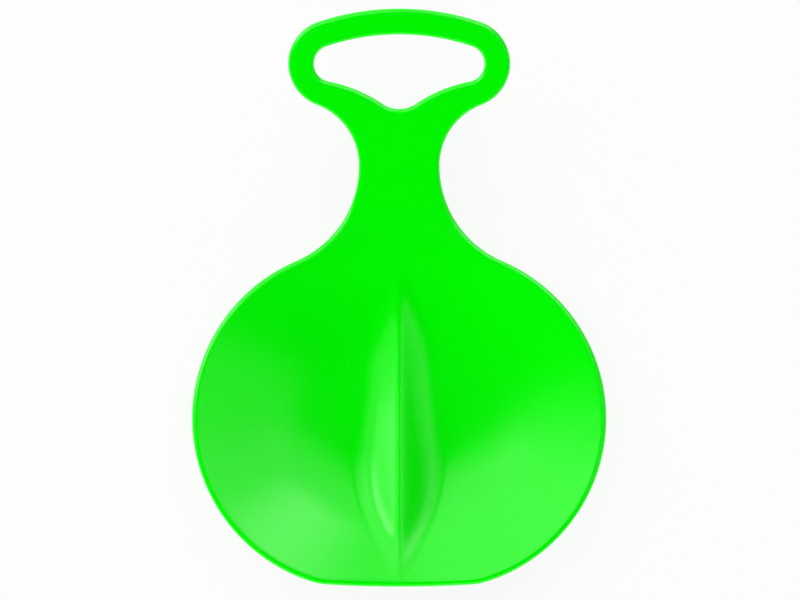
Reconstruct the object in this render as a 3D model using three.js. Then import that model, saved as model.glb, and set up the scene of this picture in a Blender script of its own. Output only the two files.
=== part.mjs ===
// Snow slider: a one-piece moulded sled to sit in, with a ridge down the middle of the seat,
// a neck that rises between the knees and a loop to hold.
// Millimetres. +Z is up and +Y points from the seat to the loop. It stands on the two flats
// under the seat, either side of the ridge.

import * as THREE from "three";
import { mergeGeometries, mergeVertices } from "three/addons/utils/BufferGeometryUtils.js";

// The seat pan seen from above: an arc down each side and a slightly bowed tail edge
const panSideRadius = 157;
const panSideOffset = 33;
const tailTrim = 2.6;
const tailBowRadius = 1045;
const tailCornerRadius = 65;

// The neck: two hollow arcs on each side that meet at the waist
const neckWidth = 74.1;
const shoulderRadius = 95;
const yokeRadius = 59.4;

// The loop: a band of even width round the finger opening
const loopWidth = 203.2;
const loopEndRadius = 40.1;
const loopTopRadius = 233.7;
const gripWidth = 23.6;
const yokeAngle = -60;

// The opening's lower edge: a rounded notch at the middle and a long flank on each side
const notchDrop = 41.2;
const notchRadius = 27.3;
const flankRadius = 133;

// The skin, its rolled edge and the flange that hangs from the roll
const wall = 3;
const rollRadius = 4;
const panEdgeDepth = 7;
const gripEdgeDepth = 11;

// The bowl of the seat: a level floor, then walls that turn up and run straight to the rim
const rimRise = 38;
const floorCentre = 5;
const bowlFrontReach = 190;
const floorShare = 0.26;
const wallTurnShare = 0.6;

// The ramp that carries the neck and the loop
const rampAngle = 15.5;
const rampFoot = 95;
const rampBlend = 10;

// The ridge: two sloping flanks under a crest that leaves the ramp level and, past the knees,
// climbs straight into the tail wall
const crestFront = 10.5;
const crestStart = 159;
const crestSlope = 0.09;
const crestBlend = 4;
const crestRound = 4;
const ridgeFlankAngle = 33;
const ridgeFootBlend = 9;

// How finely the faces are divided
const seatColumns = 16;
const seatRows = 34;
const yokeRows = 8;
const gripColumns = 3;
const loopRows = 22;
const rollSteps = 3;
const ridgeBand = 49;
const neckBandShare = 0.5;
const ridgeColumnShares = [0, 0.07, 0.16, 0.28, 0.44, 0.62, 0.81, 1];

const { degToRad, lerp, smoothstep } = THREE.MathUtils;
const point = (x, y) => new THREE.Vector2(x, y);
const bearing = (from, to) => Math.atan2(to.y - from.y, to.x - from.x);

// Outline

const circle = (centre, radius) => ({ centre, radius });

// The centre that lies at two given distances from two points, on the right of the line from a to b
function rightOf(a, distanceA, b, distanceB) {
  const span = b.clone().sub(a);
  const length = span.length();
  const along = (distanceA ** 2 - distanceB ** 2 + length ** 2) / (2 * length);
  const aside = Math.sqrt(distanceA ** 2 - along ** 2);
  span.divideScalar(length);
  return point(a.x + span.x * along + span.y * aside, a.y + span.y * along - span.x * aside);
}

const panSide = circle(point(panSideOffset, 0), panSideRadius);
const tailReach = panSideRadius - tailTrim;
const tailBow = circle(point(0, tailBowRadius - tailReach), tailBowRadius);
const tailCorner = circle(
  rightOf(panSide.centre, panSideRadius - tailCornerRadius, tailBow.centre, tailBowRadius - tailCornerRadius),
  tailCornerRadius,
);

const neckHalfWidth = neckWidth / 2;
const shoulderX = neckHalfWidth + shoulderRadius;
const waistY = Math.sqrt((panSideRadius + shoulderRadius) ** 2 - (shoulderX - panSideOffset) ** 2);
const shoulder = circle(point(shoulderX, waistY), shoulderRadius);
const yoke = circle(point(neckHalfWidth + yokeRadius, waistY), yokeRadius);

const loopEndX = loopWidth / 2 - loopEndRadius;
const loopEndY = waistY + Math.sqrt((yokeRadius + loopEndRadius) ** 2 - (yoke.centre.x - loopEndX) ** 2);
const loopEnd = circle(point(loopEndX, loopEndY), loopEndRadius);
const loopTopY = loopEndY - Math.sqrt((loopTopRadius - loopEndRadius) ** 2 - loopEndX ** 2);
const loopTop = circle(point(0, loopTopY), loopTopRadius);

const fingerEnd = circle(loopEnd.centre, loopEndRadius - gripWidth);
const fingerTop = circle(loopTop.centre, loopTopRadius - gripWidth);
const notch = circle(point(0, loopEndY - notchDrop + notchRadius), notchRadius);
const flank = circle(
  rightOf(notch.centre, flankRadius + notchRadius, fingerEnd.centre, flankRadius + fingerEnd.radius),
  flankRadius,
);

// A stretch of an edge. The material lies on the centre's side of a bulging arc, and on the
// far side of a hollow one.
function stretch({ centre, radius }, from, to, bulging) {
  const curve = new THREE.EllipseCurve(centre.x, centre.y, radius, radius, from, to, from > to);
  return { curve, centre, inwardSign: bulging ? 1 : -1, length: radius * Math.abs(to - from) };
}

// The place at a share of a run of stretches, with the direction into the material
function along(run, share) {
  let left = share * run.reduce((sum, piece) => sum + piece.length, 0);
  let index = 0;
  while (index < run.length - 1 && left > run[index].length) left -= run[index++].length;
  const { curve, centre, inwardSign, length } = run[index];
  const at = curve.getPoint(Math.min(left / length, 1));
  const inward = centre.clone().sub(at).normalize().multiplyScalar(inwardSign);
  return { at, inward };
}

const down = -Math.PI / 2;
const up = Math.PI / 2;
const yokeTurn = degToRad(yokeAngle);
const tailTurn = bearing(tailBow.centre, tailCorner.centre);
const sideTurn = bearing(panSide.centre, tailCorner.centre);
const cornerTurn = (tailTurn + sideTurn) / 2;
const shoulderTurn = bearing(panSide.centre, shoulder.centre);
const yokeJoin = bearing(yoke.centre, loopEnd.centre);
const topTurn = bearing(loopTop.centre, loopEnd.centre);
const notchTurn = bearing(notch.centre, flank.centre);
const flankTurn = bearing(flank.centre, fingerEnd.centre);

const tailRun = [stretch(tailBow, down, tailTurn, true), stretch(tailCorner, tailTurn, cornerTurn, true)];
const sideRun = [
  stretch(tailCorner, cornerTurn, sideTurn, true),
  stretch(panSide, sideTurn, shoulderTurn, true),
  stretch(shoulder, shoulderTurn + Math.PI, Math.PI, false),
];
const yokeRun = [
  stretch(yoke, Math.PI, yokeJoin, false),
  stretch(loopEnd, yokeJoin - Math.PI, yokeTurn, true),
];
const loopRun = [stretch(loopEnd, yokeTurn, topTurn, true), stretch(loopTop, topTurn, up, true)];
const notchRun = [
  stretch(notch, down, notchTurn, false),
  stretch(flank, notchTurn + Math.PI, flankTurn, true),
  stretch(fingerEnd, flankTurn - Math.PI, yokeTurn, false),
];
const fingerRun = [stretch(fingerEnd, yokeTurn, topTurn, false), stretch(fingerTop, topTurn, up, false)];

// Seat surface

// The higher of two heights, rounded where they cross
function roundedMax(a, b, blend) {
  const near = Math.max(blend - Math.abs(a - b), 0) / blend;
  return Math.max(a, b) + (near * near * blend) / 4;
}

const bowlHalfWidth = panSideOffset + panSideRadius;
const bowlBackReach = tailReach + floorCentre;
const shoulderY = panSideRadius * Math.sin(shoulderTurn);
const rampSlope = Math.tan(degToRad(rampAngle));
const flankSlope = Math.tan(degToRad(ridgeFlankAngle));

function bowlHeight(x, y) {
  const reach = y > floorCentre ? bowlFrontReach : bowlBackReach;
  const share = Math.hypot(x / bowlHalfWidth, (y - floorCentre) / reach);
  const climb = Math.max(share - floorShare, 0) / (1 - floorShare);
  const straight = 2 - wallTurnShare;
  const curve = climb < wallTurnShare
    ? climb ** 2 / (wallTurnShare * straight)
    : (2 * climb - wallTurnShare) / straight;
  return rimRise * curve * (1 - smoothstep(y, shoulderY, waistY));
}

const dishHeight = (x, y) => roundedMax(bowlHeight(x, y), rampSlope * (y - rampFoot), rampBlend);

function ridgeHeight(x, y) {
  const crest = roundedMax(crestSlope * (crestStart - y), crestFront, crestBlend);
  return crest - flankSlope * (Math.hypot(x, crestRound) - crestRound);
}

const seatHeight = (x, y) => wall + roundedMax(dishHeight(x, y), ridgeHeight(x, y), ridgeFootBlend);

// The slope of the seat along a level direction, felt over a short step
const feelerStep = 0.05;
function slopeAlong(x, y, direction) {
  const dx = direction.x * feelerStep;
  const dy = direction.y * feelerStep;
  return (seatHeight(x + dx, y + dy) - seatHeight(x - dx, y - dy)) / (2 * feelerStep);
}

function skinPoint(x, y, under) {
  const steepness = Math.hypot(slopeAlong(x, y, point(1, 0)), slopeAlong(x, y, point(0, 1)));
  const drop = under ? wall * Math.hypot(1, steepness) : 0;
  return new THREE.Vector3(x, y, seatHeight(x, y) - drop);
}

// Rolled edge: the skin turns over its radius, drops as a flange and comes back up inside
function edgeSection({ at, inward }) {
  const outward = inward.clone().negate();
  const lean = Math.atan(slopeAlong(at.x + inward.x * rollRadius, at.y + inward.y * rollRadius, outward));
  const startSetIn = rollRadius * (1 + Math.sin(lean));
  const rollTop = seatHeight(at.x + inward.x * startSetIn, at.y + inward.y * startSetIn);
  const hub = rollTop - rollRadius * Math.cos(lean);
  const lip = rollTop - lerp(panEdgeDepth, gripEdgeDepth, smoothstep(at.y, shoulderY, waistY));
  const place = (setIn, height) =>
    new THREE.Vector3(at.x + inward.x * setIn, at.y + inward.y * setIn, height);
  const rolled = (radius, turn) =>
    place(rollRadius + radius * Math.sin(turn), hub + radius * Math.cos(turn));
  const outside = Array.from({ length: rollSteps + 1 }, (_, k) => rolled(rollRadius, lerp(lean, down, k / rollSteps)));
  const inside = Array.from({ length: rollSteps }, (_, k) =>
    rolled(rollRadius - wall, lerp(down, lean, k / (rollSteps - 1))));
  return [...outside, place(0, lip), place(wall, lip), ...inside];
}

const sections = (run, count) =>
  Array.from({ length: count + 1 }, (_, i) => edgeSection(along(run, i / count)));

// Faces, each a flat grid bent to its place

function sheet(columns, rows, place, turned) {
  const grid = new THREE.PlaneGeometry(1, 1, columns, rows);
  const positions = grid.attributes.position;
  for (let row = 0; row <= rows; row++) {
    for (let column = 0; column <= columns; column++) {
      const { x, y, z } = place(column, row);
      positions.setXYZ(row * (columns + 1) + column, x, y, z);
    }
  }
  if (turned) grid.index.array.reverse();
  grid.deleteAttribute("normal");
  grid.deleteAttribute("uv");
  return grid;
}

// Where a column crosses a row of the seat: close together on the ridge, even beyond it
function columnShare(column, halfWidth) {
  const last = ridgeColumnShares.length - 1;
  const band = Math.min(ridgeBand / halfWidth, neckBandShare);
  if (column <= last) return band * ridgeColumnShares[column];
  return lerp(band, 1, (column - last) / (seatColumns - last));
}

const tailCount = seatColumns;
const notchColumns = seatColumns - gripColumns;
const tailSections = Array.from({ length: tailCount + 1 }, (_, j) =>
  edgeSection(along(tailRun, columnShare(j, along(tailRun, 1).at.x))));
const sideSections = sections(sideRun, seatRows);
const yokeSections = sections(yokeRun, yokeRows);
const loopSections = sections(loopRun, loopRows);
const notchSections = sections(notchRun, notchColumns);
const fingerSections = sections(fingerRun, loopRows);

// The seat and neck: rows from the tail edge to the waist
function seatSheet(under) {
  const rim = (list) => list.map((section) => section.at(under ? -1 : 0));
  const tail = rim(tailSections);
  const side = rim(sideSections);
  const place = (column, row) => {
    if (row === 0) return tail[column];
    if (column === seatColumns) return side[row];
    const share = row / seatRows;
    const across = columnShare(column, side[row].x);
    const middle = lerp(tail[0].y, side[seatRows].y, share);
    const chord = lerp(tail[0].y, tail[seatColumns].y, columnShare(column, tail[seatColumns].x));
    const bow = (tail[column].y - chord) * (1 - share) ** 2;
    return skinPoint(side[row].x * across, lerp(middle, side[row].y, across) + bow, under);
  };
  return sheet(seatColumns, seatRows, place, !under);
}

// The yoke: rows from the waist up to the notch, the flank and the root of the loop
function yokeSheet(under) {
  const rim = (list) => list.map((section) => section.at(under ? -1 : 0));
  const side = rim(yokeSections);
  const edge = rim(notchSections);
  const root = [edge[notchColumns], side[yokeRows]];
  const far = (column) => column <= notchColumns
    ? edge[column]
    : new THREE.Vector3().lerpVectors(root[0], root[1], (column - notchColumns) / gripColumns);
  const place = (column, row) => {
    if (column === seatColumns) return side[row];
    if (row === yokeRows && column <= notchColumns) return edge[column];
    const share = row / yokeRows;
    const across = columnShare(column, side[0].x);
    const near = point(side[0].x * across, side[0].y);
    const middle = point(0, lerp(side[0].y, edge[0].y, share));
    const mix = (axis) =>
      lerp(near[axis], far(column)[axis], share)
      + lerp(middle[axis], side[row][axis], across)
      - lerp(
        lerp(axis === "x" ? 0 : side[0].y, edge[0][axis], share),
        lerp(side[0][axis], root[1][axis], share),
        across,
      );
    return skinPoint(mix("x"), mix("y"), under);
  };
  return sheet(seatColumns, yokeRows, place, !under);
}

// The band of the loop, from its root to the middle of the grip
function loopSheet(under) {
  const rim = (list) => list.map((section) => section.at(under ? -1 : 0));
  const inner = rim(fingerSections);
  const outer = rim(loopSections);
  const place = (column, row) => {
    if (column === 0) return inner[row];
    if (column === gripColumns) return outer[row];
    const middle = new THREE.Vector3().lerpVectors(inner[row], outer[row], column / gripColumns);
    return skinPoint(middle.x, middle.y, under);
  };
  return sheet(gripColumns, loopRows, place, !under);
}

// The edge along a run, with its profile across the sheet
const edgeSheet = (list, turned) =>
  sheet(list[0].length - 1, list.length - 1, (column, row) => list[row][column], turned);

function mirrored(geometry) {
  const other = geometry.clone().scale(-1, 1, 1);
  other.index.array.reverse();
  return other;
}

const halfSheets = [
  ...[false, true].flatMap((under) => [seatSheet(under), yokeSheet(under), loopSheet(under)]),
  ...[tailSections, sideSections, yokeSections, loopSections].map((list) => edgeSheet(list, true)),
  ...[notchSections, fingerSections].map((list) => edgeSheet(list, false)),
];
const shell = mergeVertices(mergeGeometries([...halfSheets, ...halfSheets.map(mirrored)]));
shell.computeVertexNormals();

const greenPlastic = new THREE.MeshStandardMaterial({ color: 0x00f000, roughness: 0.35, metalness: 0 });
const sledShell = new THREE.Mesh(shell, greenPlastic);
sledShell.name = "sled_shell";

// The origin lies under the middle of the whole length
const loopReach = loopTopY + loopTopRadius;
sledShell.position.y = (tailReach - loopReach) / 2;

const slider = new THREE.Group();
slider.add(sledShell);

export default slider;
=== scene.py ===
import math

import bmesh
import bpy
from mathutils import Matrix, Vector


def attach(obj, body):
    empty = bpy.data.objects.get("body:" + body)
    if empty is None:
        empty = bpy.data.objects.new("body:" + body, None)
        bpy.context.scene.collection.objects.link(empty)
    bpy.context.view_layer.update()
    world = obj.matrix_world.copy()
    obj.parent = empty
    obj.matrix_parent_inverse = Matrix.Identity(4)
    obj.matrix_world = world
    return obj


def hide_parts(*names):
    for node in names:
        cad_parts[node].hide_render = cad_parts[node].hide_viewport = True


# Snow slider: a moulded sled to sit in. Metres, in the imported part's own frame: +Y runs from
# the tail to the loop, +Z is up out of the seat.
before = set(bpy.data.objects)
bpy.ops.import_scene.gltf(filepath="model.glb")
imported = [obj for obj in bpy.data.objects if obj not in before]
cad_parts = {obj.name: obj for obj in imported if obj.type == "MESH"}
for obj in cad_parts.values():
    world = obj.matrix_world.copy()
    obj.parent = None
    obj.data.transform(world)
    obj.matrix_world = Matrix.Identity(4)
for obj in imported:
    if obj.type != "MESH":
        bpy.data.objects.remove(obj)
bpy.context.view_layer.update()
mm = 0.001


# Slider moulding
# The whole sled is one injection moulding in green polyethylene: a round dished seat with a
# ridge pressed up its middle, a neck between the knees and a loop to hold. Its edge is rolled
# over and hangs down as a flange, which stiffens the thin skin.

# The outline, seen from above. Here y counts from the row of the centres of the two side arcs.
pan_side_radius = 157 * mm
pan_side_offset = 33 * mm
tail_trim = 2.6 * mm
tail_bow_radius = 1045 * mm
tail_corner_radius = 65 * mm
neck_half_width = 37.05 * mm
shoulder_radius = 95 * mm
yoke_radius = 59.4 * mm
loop_half_width = 101.6 * mm
loop_end_radius = 40.1 * mm
loop_top_radius = 233.7 * mm
grip_width = 23.6 * mm
yoke_turn = math.radians(-60)
notch_drop = 41.2 * mm
notch_radius = 27.3 * mm
flank_radius = 133 * mm


def right_of(a, reach_a, b, reach_b):
    """The point at these distances from a and b, on the right of the way from a to b."""
    span = b - a
    ahead = span.normalized()
    along_it = (reach_a**2 - reach_b**2 + span.length_squared) / (2 * span.length)
    aside = math.sqrt(reach_a**2 - along_it**2)
    return a + ahead * along_it + Vector((ahead.y, -ahead.x)) * aside


def bearing(a, b):
    return math.atan2(b.y - a.y, b.x - a.x)


pan_side = Vector((pan_side_offset, 0))
tail_reach = pan_side_radius - tail_trim
tail_bow = Vector((0, tail_bow_radius - tail_reach))
tail_corner = right_of(
    pan_side, pan_side_radius - tail_corner_radius,
    tail_bow, tail_bow_radius - tail_corner_radius,
)
shoulder_x = neck_half_width + shoulder_radius
shoulder_reach = pan_side_radius + shoulder_radius
waist_y = math.sqrt(shoulder_reach**2 - (shoulder_x - pan_side_offset) ** 2)
shoulder = Vector((shoulder_x, waist_y))
yoke = Vector((neck_half_width + yoke_radius, waist_y))
loop_end_x = loop_half_width - loop_end_radius
loop_end_rise = math.sqrt((yoke_radius + loop_end_radius) ** 2 - (yoke.x - loop_end_x) ** 2)
loop_end = Vector((loop_end_x, waist_y + loop_end_rise))
loop_top_drop = math.sqrt((loop_top_radius - loop_end_radius) ** 2 - loop_end_x**2)
loop_top = Vector((0, loop_end.y - loop_top_drop))
finger_end_radius = loop_end_radius - grip_width
notch = Vector((0, loop_end.y - notch_drop + notch_radius))
flank = right_of(
    notch, flank_radius + notch_radius,
    loop_end, flank_radius + finger_end_radius,
)


def stretch(centre, radius, start, end, bulging=True):
    """An arc of the edge. The plastic lies inside a bulging arc and outside a hollow one."""
    return centre, radius, start, end - start, -1 if bulging else 1


def along(run, share):
    """The place at a share of a run of arcs, and the level direction into the plastic."""
    left = share * sum(radius * abs(sweep) for _, radius, _, sweep, _ in run)
    for arc in run:
        centre, radius, start, sweep, inward_sign = arc
        length = radius * abs(sweep)
        if left <= length or arc is run[-1]:
            break
        left -= length
    turn = start + sweep * min(left / length, 1)
    out = Vector((math.cos(turn), math.sin(turn)))
    return centre + out * radius, out * inward_sign


half_turn = math.pi
up = math.pi / 2
tail_turn = bearing(tail_bow, tail_corner)
side_turn = bearing(pan_side, tail_corner)
corner_turn = (tail_turn + side_turn) / 2
shoulder_turn = bearing(pan_side, shoulder)
yoke_join = bearing(yoke, loop_end)
top_turn = bearing(loop_top, loop_end)
notch_turn = bearing(notch, flank)
flank_turn = bearing(flank, loop_end)
tail_run = [
    stretch(tail_bow, tail_bow_radius, -up, tail_turn),
    stretch(tail_corner, tail_corner_radius, tail_turn, corner_turn),
]
side_run = [
    stretch(tail_corner, tail_corner_radius, corner_turn, side_turn),
    stretch(pan_side, pan_side_radius, side_turn, shoulder_turn),
    stretch(shoulder, shoulder_radius, shoulder_turn + half_turn, half_turn, False),
]
yoke_run = [
    stretch(yoke, yoke_radius, half_turn, yoke_join, False),
    stretch(loop_end, loop_end_radius, yoke_join - half_turn, yoke_turn),
]
loop_run = [
    stretch(loop_end, loop_end_radius, yoke_turn, top_turn),
    stretch(loop_top, loop_top_radius, top_turn, up),
]
notch_run = [
    stretch(notch, notch_radius, -up, notch_turn, False),
    stretch(flank, flank_radius, notch_turn + half_turn, flank_turn),
    stretch(loop_end, finger_end_radius, flank_turn - half_turn, yoke_turn, False),
]
finger_run = [
    stretch(loop_end, finger_end_radius, yoke_turn, top_turn, False),
    stretch(loop_top, loop_top_radius - grip_width, top_turn, up, False),
]

# The seat's surface: a bowl with a level floor, a ramp that carries the neck and the loop,
# and the ridge. Its crest leaves the ramp level, then climbs straight into the tail wall.
wall = 3 * mm
rim_rise = 38 * mm
floor_centre = 5 * mm
bowl_front_reach = 190 * mm
floor_share = 0.26
wall_turn_share = 0.6
ramp_slope = math.tan(math.radians(15.5))
ramp_foot = 95 * mm
ramp_blend = 10 * mm
crest_front = 10.5 * mm
crest_start = 159 * mm
crest_slope = 0.09
crest_blend = 4 * mm
crest_round = 4 * mm
flank_slope = math.tan(math.radians(33))
ridge_foot_blend = 9 * mm
shoulder_y = pan_side_radius * math.sin(shoulder_turn)
bowl_half_width = pan_side_offset + pan_side_radius
bowl_back_reach = tail_reach + floor_centre


def mix(a, b, share):
    return a + (b - a) * share


def past_shoulder(y):
    """From 0 at the shoulder to 1 at the waist, with a soft start and end."""
    share = min(max((y - shoulder_y) / (waist_y - shoulder_y), 0), 1)
    return share * share * (3 - 2 * share)


def rounded_max(a, b, blend):
    near = max(blend - abs(a - b), 0) / blend
    return max(a, b) + near * near * blend / 4


def bowl_height(x, y):
    reach = bowl_front_reach if y > floor_centre else bowl_back_reach
    share = math.hypot(x / bowl_half_width, (y - floor_centre) / reach)
    climb = max(share - floor_share, 0) / (1 - floor_share)
    straight = 2 - wall_turn_share
    if climb < wall_turn_share:
        curve = climb**2 / (wall_turn_share * straight)
    else:
        curve = (2 * climb - wall_turn_share) / straight
    return rim_rise * curve * (1 - past_shoulder(y))


def dish_height(x, y):
    return rounded_max(bowl_height(x, y), ramp_slope * (y - ramp_foot), ramp_blend)


def ridge_height(x, y):
    crest = rounded_max(crest_slope * (crest_start - y), crest_front, crest_blend)
    return crest - flank_slope * (math.hypot(x, crest_round) - crest_round)


def seat_height(x, y):
    return wall + rounded_max(dish_height(x, y), ridge_height(x, y), ridge_foot_blend)


def skin(x, y):
    return Vector((x, y, seat_height(x, y)))


# The rolled edge: the skin turns over a small radius, then drops as a flange.
roll_radius = 4 * mm
pan_edge_depth = 7 * mm
grip_edge_depth = 11 * mm
roll_steps = 8
flange_steps = 3
feeler = 0.05 * mm


def edge_section(run, share):
    """The edge's profile at a share of a run, from where the skin starts to roll to the lip."""
    at, inward = along(run, share)
    foot = at + inward * roll_radius
    near, far = foot - inward * feeler, foot + inward * feeler
    lean = math.atan((seat_height(*near) - seat_height(*far)) / (2 * feeler))
    start = at + inward * roll_radius * (1 + math.sin(lean))
    top = seat_height(*start)
    hub = top - roll_radius * math.cos(lean)
    lip = top - mix(pan_edge_depth, grip_edge_depth, past_shoulder(at.y))

    def place(set_in, height):
        spot = at + inward * set_in
        return Vector((spot.x, spot.y, height))

    rolled = [mix(lean, -up, k / roll_steps) for k in range(roll_steps + 1)]
    roll = [place(roll_radius * (1 + math.sin(t)), hub + roll_radius * math.cos(t)) for t in rolled]
    return roll + [place(0, mix(hub, lip, (k + 1) / flange_steps)) for k in range(flange_steps)]


# The sheets of the right half, each a flat grid bent to its place. Columns stand closer
# together on the ridge, where the seat is wide.
seat_columns = 56
seat_rows = 132
yoke_rows = 30
grip_columns = 10
loop_rows = 84
even_width = 62 * mm


def column_share(column, half_width):
    even = min(even_width / half_width, 1)
    share = column / seat_columns
    return mix(share * share, share, even)


tail_end = along(tail_run, 1)[0]
tail_edge = [
    edge_section(tail_run, column_share(j, tail_end.x)) for j in range(seat_columns + 1)
]


def edge_of(run, count):
    return [edge_section(run, i / count) for i in range(count + 1)]


notch_columns = seat_columns - grip_columns
side_edge = edge_of(side_run, seat_rows)
yoke_edge = edge_of(yoke_run, yoke_rows)
loop_edge = edge_of(loop_run, loop_rows)
notch_edge = edge_of(notch_run, notch_columns)
finger_edge = edge_of(finger_run, loop_rows)


def seat_place(column, row):
    """From the tail edge to the waist."""
    if row == 0:
        return tail_edge[column][0]
    rim = side_edge[row][0]
    if column == seat_columns:
        return rim
    share = row / seat_rows
    across = column_share(column, rim.x)
    first, tail, last = tail_edge[0][0], tail_edge[column][0], tail_edge[-1][0]
    middle = mix(first.y, side_edge[-1][0].y, share)
    bow = tail.y - mix(first.y, last.y, column_share(column, last.x))
    return skin(rim.x * across, mix(middle, rim.y, across) + bow * (1 - share) ** 2)


def yoke_place(column, row):
    """From the waist to the notch, the flank and the root of the loop."""
    side, near_corner = yoke_edge[row][0], yoke_edge[0][0]
    if column == seat_columns:
        return side
    root_in, root_out = notch_edge[-1][0], yoke_edge[-1][0]
    if column <= notch_columns:
        far = notch_edge[column][0]
    else:
        far = root_in.lerp(root_out, (column - notch_columns) / grip_columns)
    if row == yoke_rows and column <= notch_columns:
        return far
    share = row / yoke_rows
    across = column_share(column, near_corner.x)
    near = Vector((near_corner.x * across, near_corner.y, 0))
    low, high = Vector((0, near_corner.y, 0)), notch_edge[0][0]
    across_rows = near.lerp(far, share)
    across_columns = low.lerp(high, share).lerp(side, across)
    corners = low.lerp(high, share).lerp(near_corner.lerp(root_out, share), across)
    spot = across_rows + across_columns - corners
    return skin(spot.x, spot.y)


def loop_place(column, row):
    """From the root of the loop to the middle of the grip."""
    inner, outer = finger_edge[row][0], loop_edge[row][0]
    if column in (0, grip_columns):
        return outer if column else inner
    spot = inner.lerp(outer, column / grip_columns)
    return skin(spot.x, spot.y)


def bend_sheet(moulding, columns, rows, place):
    grid = bmesh.ops.create_grid(moulding, x_segments=columns, y_segments=rows, size=0.5)
    for corner in grid["verts"]:
        column = round((corner.co.x + 0.5) * columns)
        row = round((corner.co.y + 0.5) * rows)
        corner.co = place(column, row)


moulding = bmesh.new()
bend_sheet(moulding, seat_columns, seat_rows, seat_place)
bend_sheet(moulding, seat_columns, yoke_rows, yoke_place)
bend_sheet(moulding, grip_columns, loop_rows, loop_place)
profile_steps = roll_steps + flange_steps
for edge in (tail_edge, side_edge, yoke_edge, loop_edge, notch_edge, finger_edge):
    bend_sheet(moulding, profile_steps, len(edge) - 1, lambda k, i: edge[i][k])

# The left half mirrors the right one, and the skin gets its wall downwards.
weld = 0.005 * mm
everything = moulding.verts[:] + moulding.edges[:] + moulding.faces[:]
bmesh.ops.mirror(moulding, geom=everything, axis="X", merge_dist=weld)
bmesh.ops.remove_doubles(moulding, verts=moulding.verts, dist=weld)
loop_reach = loop_top.y + loop_top_radius
bmesh.ops.translate(moulding, verts=moulding.verts, vec=(0, (tail_reach - loop_reach) / 2, 0))
bmesh.ops.recalc_face_normals(moulding, faces=moulding.faces)
moulding.faces.ensure_lookup_table()
if moulding.faces[0].normal.z < 0:
    bmesh.ops.reverse_faces(moulding, faces=moulding.faces)
bmesh.ops.solidify(moulding, geom=moulding.faces[:], thickness=wall)
lip_angle = math.radians(60)
lip_round = 0.6 * mm
lip_steps = 3
lips = [e for e in moulding.edges if e.is_manifold and e.calc_face_angle() > lip_angle]
bmesh.ops.bevel(
    moulding, geom=lips, offset=lip_round, offset_type="OFFSET",
    segments=lip_steps, profile=0.5, affect="EDGES", material=-1,
)
for face in moulding.faces:
    face.smooth = True

slider_mesh = bpy.data.meshes.new("slider_moulding")
moulding.to_mesh(slider_mesh)
moulding.free()
slider = bpy.data.objects.new("slider_moulding", slider_mesh)
bpy.context.scene.collection.objects.link(slider)


class Wire:
    """A node's socket. A sum, difference or product of wires adds its Math node."""

    def __init__(self, finish, socket):
        self.finish = finish
        self.socket = socket

    def _with(self, operation, first, second):
        return self.finish.node("ShaderNodeMath", {"operation": operation}, {0: first, 1: second})

    def __add__(self, other):
        return self._with("ADD", self, other)

    def __radd__(self, other):
        return self._with("ADD", other, self)

    def __sub__(self, other):
        return self._with("SUBTRACT", self, other)

    def __rsub__(self, other):
        return self._with("SUBTRACT", other, self)

    def __mul__(self, other):
        return self._with("MULTIPLY", self, other)

    def __rmul__(self, other):
        return self._with("MULTIPLY", other, self)


class Finish:
    """The nodes of a material, of a lamp or of the sky."""

    def __init__(self, owner):
        owner.use_nodes = True
        self.tree = owner.node_tree
        self.tree.nodes.clear()

    def node(self, kind, settings=None, inputs=None, output=0):
        """Adds a node, sets its settings, fills its inputs with values or wires."""
        made = self.tree.nodes.new(kind)
        for name, value in (settings or {}).items():
            if name == "stops":
                ramp = made.color_ramp
                while len(ramp.elements) < len(value):
                    ramp.elements.new(1)
                for element, (position, colour) in zip(ramp.elements, value):
                    element.position = position
                    element.color = (*colour, 1)
            else:
                setattr(made, name, value)
        for name, value in (inputs or {}).items():
            if isinstance(value, Wire):
                self.tree.links.new(value.socket, made.inputs[name])
            else:
                made.inputs[name].default_value = value
        return Wire(self, made.outputs[output]) if made.outputs else None


# Green polyethylene, satin-gloss as it leaves a polished mould. Its green, its gloss and a faint
# waviness drift slowly over the part. A fine grain varies the gloss and the surface too.
green_plastic = bpy.data.materials.new("green_plastic")
plastic = Finish(green_plastic)
place_on_part = plastic.node("ShaderNodeTexCoord", output="Object")


def grain(scale, detail, roughness=0.5):
    """Soft noise over the part, from 0 to 1. The scale is about its grains to the metre."""
    sizes = {"Vector": place_on_part, "Scale": scale, "Detail": detail, "Roughness": roughness}
    return plastic.node("ShaderNodeTexNoise", {"noise_dimensions": "3D"}, sizes)


flow = grain(scale=9, detail=2)
fine = grain(scale=900, detail=3, roughness=0.6)
deep_green = (0.0, 0.9, 0.0, 1)
bright_green = (0.0, 0.93, 0.0, 1)
base_colour = plastic.node(
    "ShaderNodeMix",
    {"data_type": "RGBA", "blend_type": "MIX", "clamp_factor": True},
    {"Factor": flow, "A": deep_green, "B": bright_green},
    output="Result",
)
least_roughness = 0.14
flow_roughness = 0.07
fine_roughness = 0.03
skin_roughness = least_roughness + flow * flow_roughness + fine * fine_roughness
wave_share = 0.6
grain_share = 0.02
relief = flow * wave_share + fine * grain_share
relief_height = 2 * mm
relief_strength = 0.15
surface = plastic.node(
    "ShaderNodeBump", {},
    {"Strength": relief_strength, "Distance": relief_height, "Height": relief},
)
plastic_ior = 1.5
plastic.node(
    "ShaderNodeOutputMaterial", {},
    {"Surface": plastic.node(
        "ShaderNodeBsdfPrincipled", {},
        {
            "Base Color": base_colour,
            "Roughness": skin_roughness,
            "Normal": surface,
            "IOR": plastic_ior,
        },
    )},
)
slider_mesh.materials.append(green_plastic)
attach(slider, "root")
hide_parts("sled_shell")


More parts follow.
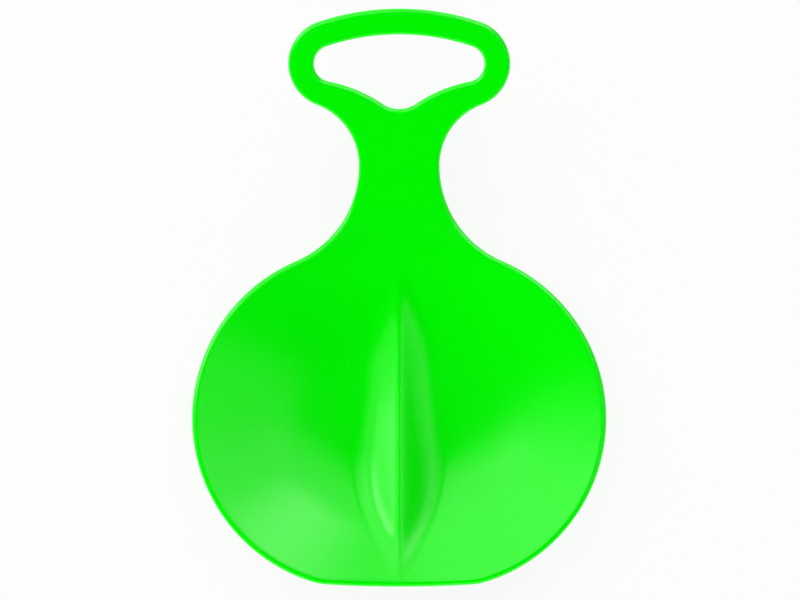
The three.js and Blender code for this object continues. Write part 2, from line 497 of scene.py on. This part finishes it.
# Floor
# A wide white studio floor that the sled rests on, a hair below its flats so that the two
# don't share a plane. The camera sees it nearly white, with the sled's soft shadow on it.
floor_reach = 60
floor_gap = 0.2 * mm
floor_sheet = bmesh.new()
bmesh.ops.create_grid(floor_sheet, x_segments=1, y_segments=1, size=floor_reach)
floor_mesh = bpy.data.meshes.new("floor")
floor_sheet.to_mesh(floor_mesh)
floor_sheet.free()
floor = bpy.data.objects.new("floor", floor_mesh)
floor.location.z = -floor_gap
bpy.context.scene.collection.objects.link(floor)
white_floor = bpy.data.materials.new("white_floor")
lino = Finish(white_floor)
seen = lino.node("ShaderNodeLightPath", output="Is Camera Ray")
mirrored = lino.node("ShaderNodeLightPath", output="Is Glossy Ray")
passed = lino.node("ShaderNodeLightPath", output="Is Transmission Ray")
matt_white = (0.85, 0.85, 0.85, 1)
matt = lino.node("ShaderNodeBsdfDiffuse", {}, {"Color": matt_white})
glow = lino.node("ShaderNodeEmission", {}, {"Color": (1, 1, 1, 1), "Strength": 1})
glow_share = 0.9
shown = (seen + mirrored + passed) * glow_share
lino.node(
    "ShaderNodeOutputMaterial", {},
    {"Surface": lino.node("ShaderNodeMixShader", {}, {0: shown, 1: matt, 2: glow})},
)
floor_mesh.materials.append(white_floor)


# Lights
# Big soft boxes hang past the loop, one to each side. Each has a dimmer one nearer the tail and a
# stronger one for its side's brightest part. A fill from the tail gives no reflection. Every box
# fades to its edges. The sky is a white band at the horizon under a dark ceiling.
lamp_distance = 12


def soft_box(name, across, ahead, wide, deep, radiance, roll=0, fade=0.16):
    """A lamp seen from the sled at degrees across and ahead of straight up, wide by deep.

    A roll above 0 turns its right end ahead. At a fade of 0.16 each edge is soft over a fifth of
    the way across, and at 0.25 up to the middle.
    """
    lamp = bpy.data.lights.new(name, "AREA")
    lamp.shape = "RECTANGLE"
    lamp.size = 2 * lamp_distance * math.tan(math.radians(wide / 2))
    lamp.size_y = 2 * lamp_distance * math.tan(math.radians(deep / 2))
    lamp.energy = radiance * math.pi * lamp.size * lamp.size_y
    panel = Finish(lamp)
    place_on_panel = panel.node("ShaderNodeNewGeometry", output="Parametric")

    def edge_fade(axis):
        """From 0 at two edges of the panel to 1 well inside it."""
        share = panel.node("ShaderNodeSeparateXYZ", {}, {0: place_on_panel}, output=axis)
        return panel.node(
            "ShaderNodeMapRange", {"interpolation_type": "SMOOTHSTEP"},
            {"Value": share * (1 - share), "From Max": fade},
        )

    shine = edge_fade("X") * edge_fade("Y")
    panel.node(
        "ShaderNodeOutputLight", {},
        {"Surface": panel.node(
            "ShaderNodeEmission", {}, {"Color": (1, 1, 1, 1), "Strength": shine},
        )},
    )
    box = bpy.data.objects.new(name, lamp)
    turned = (
        Matrix.Rotation(math.radians(across), 4, "Y")
        @ Matrix.Rotation(math.radians(-ahead), 4, "X")
        @ Matrix.Rotation(math.radians(roll), 4, "Z")
    )
    box.matrix_world = turned @ Matrix.Translation((0, 0, lamp_distance))
    box.visible_camera = False
    bpy.context.scene.collection.objects.link(box)
    return box


soft_box("left_box", across=-25, ahead=39, wide=48, deep=72, radiance=1.5, roll=10, fade=0.21)
soft_box("left_low_box", across=-39, ahead=7, wide=44, deep=28, radiance=0.6, roll=20, fade=0.25)
soft_box("left_side_box", across=-63, ahead=25, wide=36, deep=42, radiance=5)
soft_box("right_box", across=29, ahead=38, wide=50, deep=76, radiance=1.1, roll=-6, fade=0.24)
soft_box("right_low_box", across=41, ahead=-1, wide=46, deep=38, radiance=0.55, roll=-24, fade=0.25)
soft_box("right_spot_box", across=42, ahead=46, wide=40, deep=48, radiance=2.7, fade=0.25)
tail_fill = soft_box("tail_fill", across=0, ahead=-72, wide=100, deep=30, radiance=5)
tail_fill.visible_glossy = False

sky = bpy.data.worlds.new("studio")
bpy.context.scene.world = sky
air = Finish(sky)
way_out = air.node("ShaderNodeTexCoord", output="Generated")
height_seen = air.node("ShaderNodeSeparateXYZ", {}, {0: way_out}, output="Z")
band_top = 0.07
ceiling_start = 0.16
white = (1, 1, 1)
ceiling_grey = (0.012, 0.012, 0.012)
band = air.node(
    "ShaderNodeValToRGB",
    {"stops": [(0.0, white), (band_top, white), (ceiling_start, ceiling_grey)]},
    {0: height_seen},
)
air.node(
    "ShaderNodeOutputWorld", {},
    {"Surface": air.node("ShaderNodeBackground", {}, {"Color": band, "Strength": 1})},
)

# Camera
# It looks straight down from far above, with the loop at the top of the picture. The width of
# the view is measured at the height of the rim.
view_width = 0.7333
camera_height = 12
rim_height = wall + rim_rise
aim_x = 0.7 * mm
aim_y = -1.7 * mm
camera_data = bpy.data.cameras.new("camera")
camera_data.sensor_width = 36
camera_data.lens = camera_data.sensor_width * camera_height / view_width
camera_data.clip_end = 100
camera = bpy.data.objects.new("camera", camera_data)
camera.location = (aim_x, aim_y, camera_height + rim_height)
bpy.context.scene.collection.objects.link(camera)
bpy.context.scene.camera = camera
bpy.context.scene.view_settings.view_transform = "Standard"
